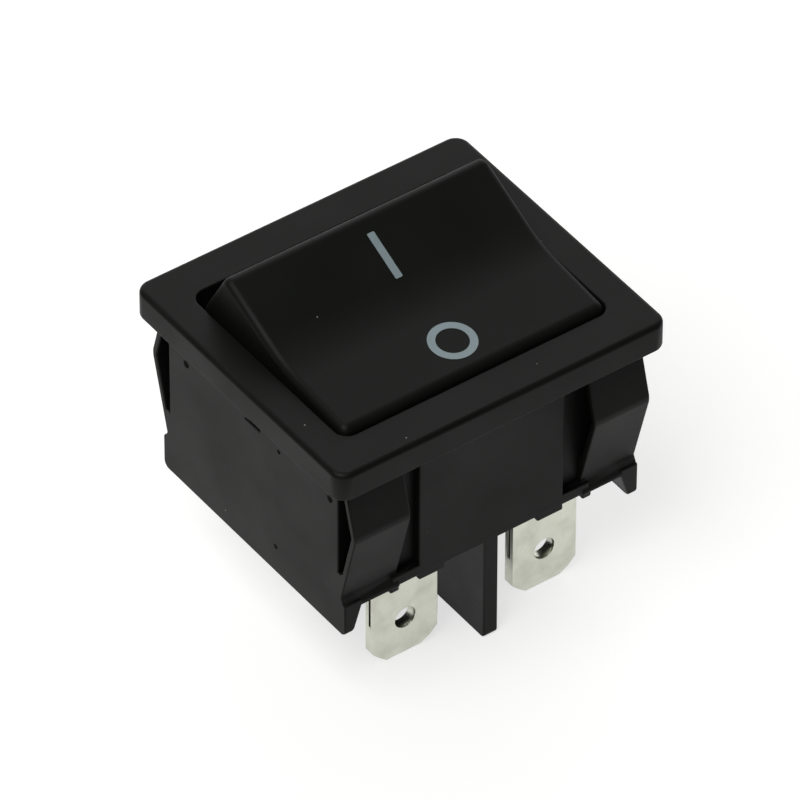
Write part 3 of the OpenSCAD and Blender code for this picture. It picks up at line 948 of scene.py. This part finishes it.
@dataclass
class Studio:
    """White paper under the switch, a softbox and a room that is bright behind it and dim in front."""

    floor_mm: float = 3000.0
    # The painted pool of light on the paper lies a little behind the switch, in the middle of what the
    # camera sees
    painted_pool_centre_mm: tuple[float, float] = (8.0, 11.0)
    bright_azimuth_deg: float = 144.0
    bright_elevation_deg: float = 15.0
    dim_light: float = 0.08
    bright_light: float = 1.45
    # Cosines of the angle to the bright side between which the room turns from dim to bright
    ramp: tuple[float, float] = (0.45, 1.0)
    softbox: Softbox = Softbox(
        "key_softbox", azimuth_deg=-75.0, elevation_deg=60.0, distance_mm=420.0, side_mm=300.0, radiance=4.6
    )

    def floor(self, level: float) -> bpy.types.Object:
        """Lays the paper at the height of the switch's feet.

        Args:
            level: Height of the paper in metres.

        Returns:
            The floor.
        """
        bpy.ops.object.select_all(action="DESELECT")
        # The paper's origin is the middle of its painted pool of light
        centre = [part * MM for part in self.painted_pool_centre_mm]
        bpy.ops.mesh.primitive_plane_add(size=self.floor_mm * MM, location=(*centre, level))
        floor = bpy.context.object
        floor.name = "studio_floor"
        floor.data.materials.append(StudioPaper().material())
        floor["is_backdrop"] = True
        return floor

    def room(self) -> None:
        """Lights the room from behind the switch."""
        way = direction(self.bright_azimuth_deg, self.bright_elevation_deg)
        world = bpy.data.worlds.new("studio_room")
        world.use_nodes = True
        bpy.context.scene.world = world
        tree = world.node_tree
        tree.nodes.clear()
        looking = add_node(tree, "ShaderNodeTexCoord").outputs["Generated"]
        facing = add_node(
            tree, "ShaderNodeVectorMath", {"operation": "DOT_PRODUCT", 1: way}, {0: looking}
        ).outputs["Value"]
        light = add_node(
            tree,
            "ShaderNodeMapRange",
            {
                "interpolation_type": "SMOOTHSTEP",
                "From Min": self.ramp[0],
                "From Max": self.ramp[1],
                "To Min": self.dim_light,
                "To Max": self.bright_light,
            },
            {"Value": facing},
        ).outputs["Result"]
        lit = add_node(tree, "ShaderNodeBackground", {"Color": WHITE}, {"Strength": light})
        add_node(tree, "ShaderNodeOutputWorld", links={"Surface": lit.outputs["Background"]})

    def build(self, level: float) -> None:
        """Sets up the whole studio.

        Args:
            level: Height of the floor in metres.
        """
        self.floor(level)
        self.room()
        self.softbox.build()
        bpy.context.scene.view_settings.view_transform = "Standard"


@dataclass
class Switch:
    """The whole switch: its mouldings, terminals, contacts and printed marks."""

    moulding_edge_mm: float = 0.1
    strip_edge_mm: float = 0.05
    wall_pits: tuple[Pit, ...] = (
        Pit((6.8, -2.2), rim_mm=0.28, depth_mm=0.16),
        Pit((-7.87, -2.1), rim_mm=0.28, depth_mm=0.16),
        Pit((-2.7, -2.2), rim_mm=0.18, depth_mm=0.1),
        Pit((-2.3, -10.1), rim_mm=0.2, depth_mm=0.1),
    )

    def mouldings(self) -> bpy.types.Object:
        """Dresses the housing and finishes the rocker, whose solid has its rolled edges already.

        Returns:
            The rocker, which carries the marks.
        """
        plastic = MouldedPolyamide().material()
        housing = DressedSolid(
            "housing", "base", Slot.BLACK_PLASTIC, self.moulding_edge_mm, pits=self.wall_pits
        ).build(plastic)
        LOG.info("%s: %d faces", housing.name, len(housing.data.polygons))
        rocker = bpy.data.objects["rocker"]
        set_material(rocker, plastic)
        LOG.info("%s: finished as %s", rocker.name, plastic.name)
        return rocker

    def terminals(self) -> None:
        """Dresses the four tabs."""
        tin = RolledMetal(
            "tinned_brass_strip", "#cfd1c4", stain_colour="#bdbeb1", roughness=0.3, along=Axis.Z
        ).material()
        for kind in ("fixed_terminal", "common_terminal"):
            for pole in POLES:
                solid = DressedSolid(f"{kind}_{pole}", "base", Slot.TINNED_BRASS, self.strip_edge_mm)
                piece = solid.build(tin)
                LOG.info("%s: %d faces", piece.name, len(piece.data.polygons))

    def mechanism(self) -> None:
        """Copies the springs and finishes the other pieces inside, which keep their solids' own shapes."""
        wire = RolledMetal(
            "drawn_spring_wire", "#b4b6b8", stain_colour="#94979a", roughness=0.3, along=Axis.Z
        ).material()
        for pole in POLES:
            spring = CoilSpring(pole).build(wire)
            LOG.info("%s: %d faces", spring.name, len(spring.data.polygons))
        finishes = {
            "contact_blade": RolledMetal(
                "rolled_copper", "#c98c64", stain_colour="#a96a48", roughness=0.28, along=Axis.Y
            ),
            "moving_contact": RolledMetal(
                "silver_alloy", "#e4e3df", stain_colour="#c9c6be", roughness=0.25, along=Axis.X
            ),
            "fixed_contact": RolledMetal(
                "silver_alloy_flange", "#e4e3df", stain_colour="#c9c6be", roughness=0.25, along=Axis.X
            ),
            "plunger": SoftPlastic(
                "natural_nylon", "#eceae0", shade_colour="#e0ddcf", roughness=0.4, ior=1.53, patch_mm=1.5
            ),
        }
        for kind, surface in finishes.items():
            material = surface.material()
            for pole in POLES:
                set_material(bpy.data.objects[f"{kind}_{pole}"], material)
            LOG.info("%s: finished as %s", kind, material.name)

    def marks(self, rocker: bpy.types.Object) -> None:
        """Prints the two marks on the crown.

        Args:
            rocker: The rocker.
        """
        ink = SoftPlastic(
            "pad_print_ink", "#87969a", shade_colour="#7b8a8f", roughness=0.55, ior=1.5, patch_mm=0.5
        ).material()
        bar = BarMark("mark_closed", centre_mm=(0.2, 1.9))
        ring = RingMark("mark_open", centre_mm=(0.15, -5.0))
        for mark in (bar, ring):
            piece = mark.build(rocker, ink)
            LOG.info("%s: %d faces", piece.name, len(piece.data.polygons))

    def build(self) -> None:
        """Builds and dresses every piece."""
        rocker = self.mouldings()
        self.terminals()
        self.mechanism()
        self.marks(rocker)


def main() -> None:
    """Loads the frame, dresses the switch and sets up the studio round it."""
    logging.basicConfig(level=logging.INFO, format="%(name)s: %(message)s")
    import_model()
    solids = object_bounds()
    bpy.ops.object.select_all(action="DESELECT")
    PhotoCamera().build()
    Switch().build()
    Studio().build(solids[0].z)


if __name__ == "__main__":
    main()
